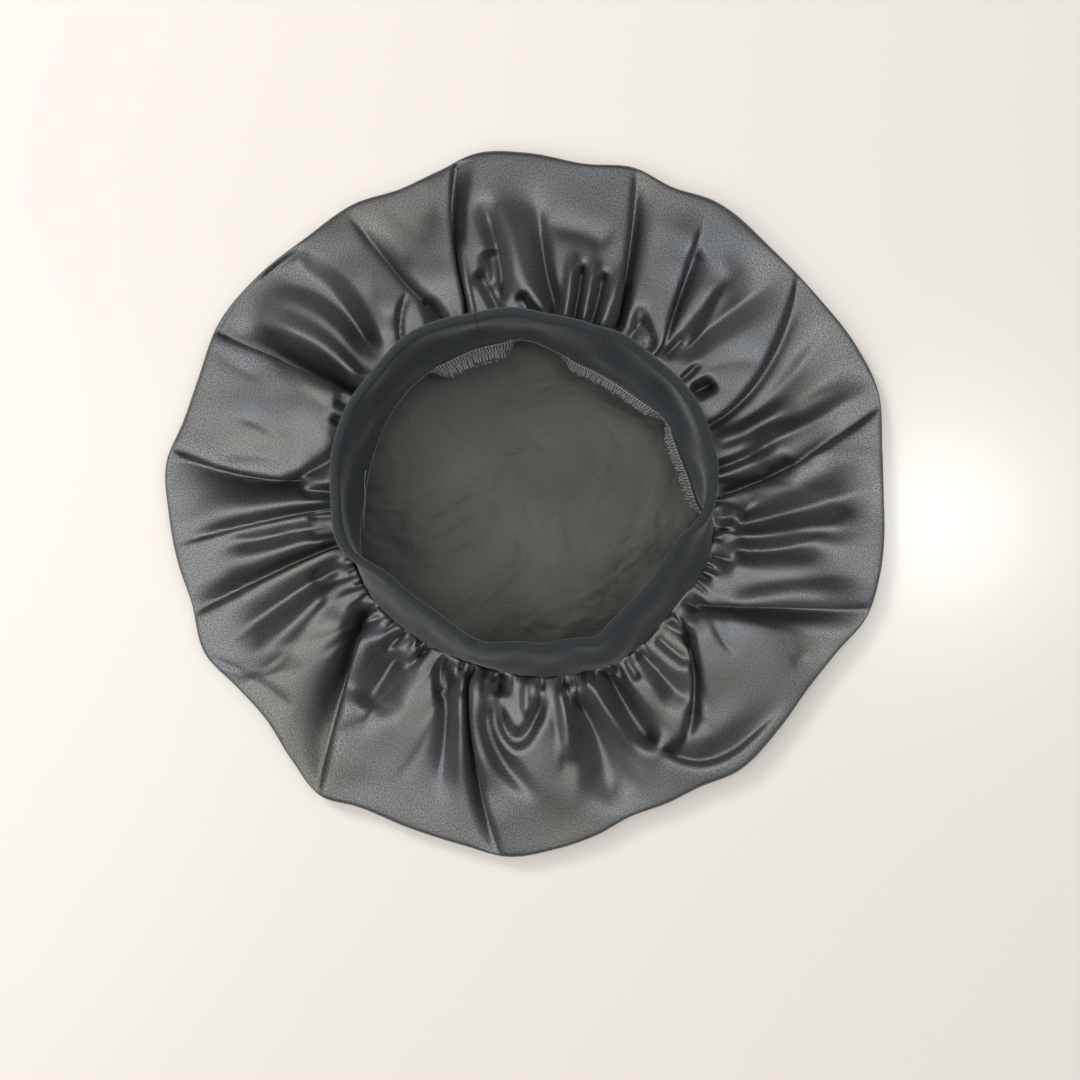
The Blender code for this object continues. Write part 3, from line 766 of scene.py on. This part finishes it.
def new_material(name, **values):
    """A Principled material with these values, and its tree."""
    material = bpy.data.materials.new(name)
    material.use_nodes = True
    for socket, value in values.items():
        socket_of(material.node_tree.nodes["Principled BSDF"], socket).default_value = value
    return material, material.node_tree


def link_shader(tree, **sockets):
    """Links what nodes give to sockets of the tree's shader."""
    for name, value in sockets.items():
        tree.links.new(value, socket_of(tree.nodes["Principled BSDF"], name))


def satin_face():
    """Polyester satin, warp floats up: a broad soft gloss that runs across the yarns, with a fine sparkle."""
    material, tree = new_material("polyester_satin_face", Roughness=0.5, IOR=3.25, Anisotropic=0.5)
    pattern = grain_of(tree)
    tangent = add_node(tree, "ShaderNodeTangent", {"direction_type": "UV_MAP", "uv_map": "grain"}).outputs[0]
    clouds = noise(tree, pattern, per_m=20.0)  # slight changes of tone every 5 cm
    speck = noise(tree, pattern, per_m=1300.0)  # the sparkle of single floats
    yarn_way = add_node(tree, "ShaderNodeMapping", Vector=pattern, Scale=(220.0, 3600.0, 1.0)).outputs[0]
    yarns = noise(tree, yarn_way, per_m=1.0)
    shade = reach(tree, math_of(tree, "MULTIPLY_ADD", speck, 0.5, clouds), given=(0.45, 1.05))
    # the gloss is cooler in some places and warmer in others
    gloss = blend(tree, reach(tree, clouds, given=(0.32, 0.68)), "#edf1f7", "#f5f4ec")
    glint = reach(tree, speck, given=(0.3, 0.7), wanted=(0.34, 1.0))
    tinted = add_node(tree, "ShaderNodeVectorMath", {"operation": "SCALE"}, i0=gloss, Scale=glint).outputs[0]
    relief = math_of(tree, "MULTIPLY_ADD", speck, 0.3, yarns)
    link_shader(
        tree, Tangent=tangent, Base_Color=blend(tree, shade, "#0d0f11", "#141618"), Specular_Tint=tinted,
        Roughness=reach(tree, speck, given=(0.3, 0.7), wanted=(0.56, 0.44)),
        Normal=bump(tree, relief, strength=0.7, rise=0.1),
    )
    return material


def satin_reverse():
    """The satin's reverse, weft up: matte, a browner grey, with a faint weave and soft crumples."""
    material, tree = new_material("polyester_satin_reverse", Roughness=0.72, IOR=1.5, Sheen_Weight=0.1)
    pattern = grain_of(tree)
    clouds = noise(tree, pattern, per_m=22.0, detail=4.0)
    weave = noise(tree, pattern, per_m=900.0)
    shade = reach(tree, math_of(tree, "MULTIPLY_ADD", weave, 0.6, clouds), given=(0.5, 1.1))
    crumples = noise(tree, pattern, per_m=17.0, detail=2.5, distortion=1.4)
    fine = bump(tree, weave, strength=0.4, rise=0.1)
    link_shader(
        tree, Base_Color=blend(tree, shade, "#2e2d2a", "#4a4844"),
        Normal=bump(tree, crumples, strength=1.0, rise=9.0, Normal=fine),
    )
    return material


def knit_face():
    """Polyester jersey, knitted fine: matte and even, with upright wales that catch a little light."""
    material, tree = new_material("polyester_jersey_knit", Roughness=0.9, IOR=1.4, Sheen_Weight=0.2)
    pattern = grain_of(tree)
    upright = {"wave_type": "BANDS", "bands_direction": "X"}
    wales = add_node(
        tree, "ShaderNodeTexWave", upright, Vector=pattern, Scale=220.0, Distortion=1.2, Detail=1.0,
    ).outputs["Fac"]
    fuzz = noise(tree, pattern, per_m=1000.0)
    mixed = math_of(tree, "MULTIPLY_ADD", wales, 0.1, fuzz)
    colour = blend(tree, reach(tree, mixed, given=(0.3, 0.8)), "#0b0f12", "#2f3538")
    # painted shade: a dark line in the knit's colour where the strip's ends are sewn together, standing in
    # for the shade in the seam's groove; its bump gives a real dent
    along = add_node(tree, "ShaderNodeSeparateXYZ", Vector=pattern).outputs[0]
    off_join = math_of(tree, "SUBTRACT", along, JOIN_DEG * BAND_ROUND / 360.0 * MM)
    flat = reach(tree, math_of(tree, "ABSOLUTE", off_join), given=(0.1 * MM, 0.6 * MM), way="SMOOTHSTEP")
    ribs = bump(tree, mixed, strength=0.5, rise=0.12)
    link_shader(
        # the painted seam shade, #101213, is mixed into the knit's colour along the join
        tree, Base_Color=blend(tree, flat, "#101213", colour),
        Normal=bump(tree, flat, strength=0.8, rise=0.4, Normal=ribs),
    )
    return material


def cut_edges():
    """Raw edges of satin and knit under the overlock seam: matte, brownish grey, a little uneven."""
    material, tree = new_material("cut_satin_and_knit_edges", Roughness=0.8, IOR=1.45, Sheen_Weight=0.15)
    fray = noise(tree, grain_of(tree), per_m=900.0, detail=3.0)
    link_shader(
        tree, Base_Color=blend(tree, reach(tree, fray, given=(0.35, 0.7)), "#262726", "#3b3c3a"),
        Normal=bump(tree, fray, strength=0.5, rise=0.2),
    )
    return material


def seam_thread():
    """Spun polyester thread, pale grey and slightly fuzzy, lighter than the cloths it joins."""
    name = "spun_polyester_thread"
    if name in bpy.data.materials:
        return bpy.data.materials[name]
    return new_material(
        name, Base_Color=hex_to_linear("#8f9190"), Roughness=0.7, IOR=1.45, Sheen_Weight=0.3,
    )[0]


def table_top():
    """Painted table top, smooth and slightly glossy, so that a lamp shows in it as a soft bright spot."""
    return new_material("painted_table_top", Base_Color=hex_to_linear("#cdc8c2"), Roughness=0.24, IOR=1.45)[0]


# -------- the crown
def unevenness(x, y):
    """Slight soft dents all over, as in any handled cloth."""
    draw = np.random.default_rng(DENT_SEED)
    rise = np.zeros(x.shape)
    for _ in range(DENT_WAVES):
        length = draw.uniform(*DENT_MM)
        turn, start = draw.uniform(0.0, 2.0 * math.pi, 2)
        along = (x * math.cos(turn) + y * math.sin(turn)) * 2.0 * math.pi / length
        rise += np.sin(along + start) * length * DENT_SLOPE
    return rise


def faint_creases():
    """Slight creases running outwards here and there."""
    draw = np.random.default_rng(FAINT_SEED)
    creases = []
    for _ in range(FAINT_CREASES):
        degrees, turn, bend = draw.uniform(0.0, 360.0), *draw.uniform(*FAINT_TURN_DEG, 2)
        start, length = draw.uniform(*FAINT_START_MM), draw.uniform(*FAINT_LENGTH_MM)
        depth = draw.uniform(*FAINT_DEPTH)
        sides = FAINT_SIDES_MM if draw.uniform() < 0.5 else FAINT_SIDES_MM[::-1]
        creases.append(
            Fold(
                degrees, start, degrees + turn / 2.0 + bend / 4.0, start + length / 2.0, degrees + turn,
                start + length, *sides, depth, CREASE,
            )
        )
    return creases


def upper_satin(levels, rim, edge):
    """The satin from the table's edge round the rim to the band: its places, and its rings' radii."""
    degrees = steps_of(SATIN_STEPS)
    share, height, folding, gather = levels.T[..., None]
    radius = rim + (edge - rim) * share
    x, y = polar(radius, degrees)
    depth, push = folds_together(FOLDS + faint_creases(), x, y)
    pockets, _ = folds_together(POCKETS, x, y)
    z = softened(height - folding * (DEEPER * depth + unevenness(x, y)))
    z += gather * gather_height(radius, degrees, edge) - folding * pockets
    kept_up = LOWEST_FOLD + np.logaddexp(0.0, (z - LOWEST_FOLD) / FOLD_EASE) * FOLD_EASE
    z = np.where(folding > OFF_TABLE_FROM, kept_up, z)
    x, y = true_place(x + softened(folding * push[..., 0]), y + softened(folding * push[..., 1]), z)
    return np.stack((x, y, z), axis=-1) - MIDDLE, radius


def crown_section():
    """The bag's rings from the middle of its floor round the rim to the band, and their radii laid flat."""
    degrees = steps_of(SATIN_STEPS)
    rim = around(RIM, "radius", degrees)
    edge = band_face(degrees, SECTION[-1].height, 1) + GAP
    levels, travelled = smooth_section(SECTION, SATIN_RINGS, float(np.mean(rim - edge)))
    upper, radius = upper_satin(levels, rim, edge)
    floor_radius = radius[:1] * np.linspace(0.0, 1.0, FLOOR_RINGS, endpoint=False)[1:, None]
    floor = placed(floor_radius, degrees, 0.0)
    flat_radius = np.concatenate((floor_radius, radius[:1] + travelled[:, None]))
    return np.concatenate((floor, upper)), flat_radius


def make_crown():
    """The satin bag as one shell, glossy outside and matte inside."""
    rings, flat_radius = crown_section()
    count, steps = rings.shape[:2]
    hub = placed(0.0, 0.0, 0.0).reshape(1, 3)
    places = np.concatenate((rings.reshape(-1, 3), hub))
    faces = list(ring_faces(count, steps)) + [((i + 1) % steps, i, count * steps) for i in range(steps)]
    crown = piece_from("satin_crown", places, faces, (satin_face(), satin_reverse()))
    flat_x, flat_y = polar(flat_radius, steps_of(steps))
    lay_grain(crown, np.append(flat_x.ravel(), 0.0), np.append(flat_y.ravel(), 0.0))
    thicken(crown, SATIN_THICK, inner_material=1)
    return crown


# -------- the band
def band_wrinkles(degrees, share):
    """How far soft wrinkles push the band's knit out at each angle and share of its width."""
    draw = np.random.default_rng(WRINKLE_SEED)
    radians = np.radians(degrees)
    pushed = np.zeros(np.shape(degrees))
    for _ in range(WRINKLES):
        waves = draw.integers(*WRINKLE_WAVES)
        slant, start = draw.uniform(*WRINKLE_SLANT), draw.uniform(0.0, 2.0 * math.pi)
        wide = BAND_ROUND / waves / (2.0 * math.pi)
        pushed += WRINKLE_SLOPE * wide * np.sin(waves * radians + slant * math.pi * share + start)
    return pushed * ease(share / WRINKLES_FULL)


def band_rows():
    """Up the band's outer face, over its fold and down inside: share of its width, side, rise of the fold."""
    rows = [(share, 1.0, 0.0) for share in np.linspace(0.0, 1.0, BAND_RINGS, endpoint=False)]
    rows += [(1.0, math.cos(turn), math.sin(turn)) for turn in np.linspace(0.0, math.pi, BAND_FOLD_RINGS)]
    return rows + [(share, -1.0, 0.0) for share in np.linspace(1.0, 0.0, BAND_RINGS + 1)[1:]]


def make_band():
    """One strip of knit folded double over the elastic, its fold uppermost."""
    degrees = steps_of(BAND_STEPS)
    seam, top, rise = band_line(degrees)
    length = np.hypot(top - seam, rise)
    up_r, up_z = (top - seam) / length, rise / length
    below_fold = 1.0 - (BAND_THICK / 2.0 + FOLD_THICKER) / BAND_WIDTH
    rings = []
    travelled = []
    for share, side, cap in band_rows():
        along = share * below_fold
        half = BAND_THICK / 2.0 + FOLD_THICKER * ease((share - FOLD_FROM) / (1.0 - FOLD_FROM))
        bow = BAND_BOW * 4.0 * along * (1.0 - along) + band_wrinkles(degrees, share)
        along_mm = along * length + cap * half
        radius = seam + up_r * along_mm + up_z * (side * half + bow)
        height = BAND_FOOT + up_z * along_mm - up_r * (side * half + bow)
        rings.append(placed(radius, degrees, height))
        travelled.append(along_mm * side)
    faces = ring_faces(len(rings), BAND_STEPS)
    band = piece_from("knit_band", np.concatenate(rings), faces, (knit_face(),))
    flat_x = np.broadcast_to(degrees * BAND_ROUND / 360.0, (len(rings), BAND_STEPS))
    lay_grain(band, flat_x.ravel(), np.stack(travelled).ravel(), BAND_ROUND)
    thicken(band, KNIT_THICK)
    return band


# -------- the seam allowance and its threads
def make_allowance():
    """The raw edges of satin and knit, standing in from the band or hanging below it, softly ruffled."""
    degrees = steps_of(ALLOWANCE_STEPS)
    half = ALLOWANCE_THICK / 2.0
    rows = [(share, half) for share in np.linspace(0.0, 1.0, ALLOWANCE_RINGS)]
    rows += [(share, -half) for share in np.linspace(1.0, 0.0, ALLOWANCE_RINGS)]
    rings = np.stack([allowance_place(degrees, share, above) for share, above in rows])
    faces = ring_faces(len(rows), ALLOWANCE_STEPS, closed=True)
    allowance = piece_from("overlocked_allowance", rings.reshape(-1, 3), faces, (cut_edges(),))
    flat_x = np.broadcast_to(degrees * BAND_ROUND / 360.0, rings.shape[:2])
    flat_y = np.array([share * ALLOWANCE_WIDTH for share, _ in rows])[:, None]
    lay_grain(allowance, flat_x.ravel(), np.broadcast_to(flat_y, rings.shape[:2]).ravel(), BAND_ROUND)
    return allowance


def thread_along(path, closed):
    """Places and faces of a thin round thread along a path."""
    way = np.roll(path, -1, 0) - np.roll(path, 1, 0)
    if not closed:
        way[0], way[-1] = path[1] - path[0], path[-1] - path[-2]
    way /= np.linalg.norm(way, axis=1, keepdims=True) + TINY
    sides = [np.cross(way[0], FIRST_SIDE)]
    for step in way:
        side = sides[-1] - step * sides[-1].dot(step)
        sides.append(side / (np.linalg.norm(side) + TINY))
    sides = np.array(sides[1:])
    other = np.cross(way, sides)
    turn = np.arange(THREAD_SIDES) * 2.0 * math.pi / THREAD_SIDES
    places = np.stack([path + THREAD * (sides * math.cos(a) + other * math.sin(a)) for a in turn])
    faces = ring_faces(THREAD_SIDES, len(path), closed=True)[:, [0, 3, 2, 1]]
    if not closed:
        starts = np.arange(THREAD_SIDES) * len(path)
        faces = list(faces.reshape(THREAD_SIDES, -1, 4)[:, :-1].reshape(-1, 4))
        faces += [starts[::-1], starts + len(path) - 1]
    return places.reshape(-1, 3), faces


def stitch_path(form, draw):
    """One thread of the overlock seam, all the way round."""
    stitches = int(BAND_ROUND / STITCH_MM)
    pitch = 360.0 / stitches
    start = (np.arange(stitches) + draw.uniform(-STITCH_SHIFT, STITCH_SHIFT, stitches))[:, None] * pitch
    along, share, above = (np.array(column)[None, :] for column in zip(*form))
    reached = 1.0 - draw.uniform(0.0, STITCH_SHORTER, stitches)[:, None] * (share > STITCH_REACHES)
    degrees = (start + along * pitch).ravel()
    return allowance_place(degrees, (share * reached).ravel(), np.broadcast_to(above, reached.shape).ravel())


def make_threads():
    """The overlock seam's threads: the looper, the chain along the cloth's edge and the needle's line."""
    draw = np.random.default_rng(THREAD_SEED)
    places, faces = [], []
    for form in (LOOPER, EDGE, NEEDLE):
        more, more_faces = thread_along(stitch_path(form, draw), True)
        faces.append(more_faces + sum(map(len, places)))
        places.append(more)
    return piece_from("overlock_threads", np.concatenate(places), np.concatenate(faces), (seam_thread(),))


def make_loose_ends():
    """Ends of sewing thread that were left hanging."""
    made = []
    for end in LOOSE_ENDS:
        knots = np.array(end.points)
        curve, _ = smooth_section(knots[:, [0, 2, 1]], LOOSE_STEPS, DEGREE_MM)
        path = placed(curve[:, 2], curve[:, 0], curve[:, 1])
        places, faces = thread_along(path, False)
        made.append(piece_from(end.name, places, faces, (seam_thread(),)))
    return made


# -------- stage
def make_table():
    """The table top that the bonnet lies on."""
    signs = ((-1, -1), (1, -1), (1, 1), (-1, 1))
    corners = [(x * TABLE_REACH, y * TABLE_REACH, -TABLE_DROP) for x, y in signs]
    piece_from("table_top", corners, [(0, 1, 2, 3)], (table_top(),))


def add_lamp(lamp):
    """One soft round light aimed at the bonnet."""
    data = bpy.data.lights.new(lamp.name, "AREA")
    data.shape = "DISK"
    data.size = lamp.width
    data.energy = lamp.watts
    data.color = lamp.colour
    light = bpy.data.objects.new(lamp.name, data)
    light.location = lamp.place
    light.rotation_euler = (-Vector(lamp.place)).to_track_quat("-Z", "Y").to_euler()
    light.visible_glossy = lamp.in_gloss
    bpy.context.scene.collection.objects.link(light)


def make_world():
    """A pale ceiling that lights from above, and walls that only the eye sees."""
    world = bpy.data.worlds.new("pale_room")
    world.use_nodes = True
    tree = world.node_tree
    back = tree.nodes["Background"]
    way = add_node(tree, "ShaderNodeTexCoord").outputs["Generated"]
    parts = add_node(tree, "ShaderNodeSeparateXYZ", Vector=way)
    ceiling = reach(tree, parts.outputs["Z"], CEILING_FROM_TO, (0.0, CEILING_LIGHT), "SMOOTHSTEP")
    sideways = reach(tree, parts.outputs["X"], (-1.0, 1.0), LEFT_RIGHT_LIGHT)
    lit = math_of(tree, "MULTIPLY", ceiling, sideways)
    seen = add_node(tree, "ShaderNodeLightPath").outputs["Is Camera Ray"]
    tree.links.new(math_of(tree, "MULTIPLY_ADD", seen, WALLS_SEEN, lit), back.inputs["Strength"])
    back.inputs["Color"].default_value = hex_to_linear(ROOM)
    bpy.context.scene.world = world


def make_camera():
    """The eye over the table, looking straight down on as much of it as the photo shows."""
    data = bpy.data.cameras.new("eye")
    data.sensor_fit = "HORIZONTAL"
    data.angle = 2.0 * math.atan(PHOTO_PX * PX_MM / 2.0 / EYE_HEIGHT)
    data.clip_start = NEAREST_SEEN * MM
    camera = bpy.data.objects.new("eye", data)
    camera.location = ((EYE_X - MIDDLE[0]) * MM, (EYE_Y - MIDDLE[1]) * MM, EYE_HEIGHT * MM)
    bpy.context.scene.collection.objects.link(camera)
    bpy.context.scene.camera = camera


def main():
    """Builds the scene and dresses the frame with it."""
    bpy.context.scene.view_settings.view_transform = "Standard"
    make_camera()
    make_world()
    make_table()
    for lamp in LAMPS:
        add_lamp(lamp)
    crown = make_crown()
    band = make_band()
    allowance = make_allowance()
    threads = [make_threads()] + make_loose_ends()
    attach(crown, "root")
    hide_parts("crown")
    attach(band, "root")
    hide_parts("band")
    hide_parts("seam_allowance")
    for piece in [allowance] + threads:
        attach(piece, "root")


main()
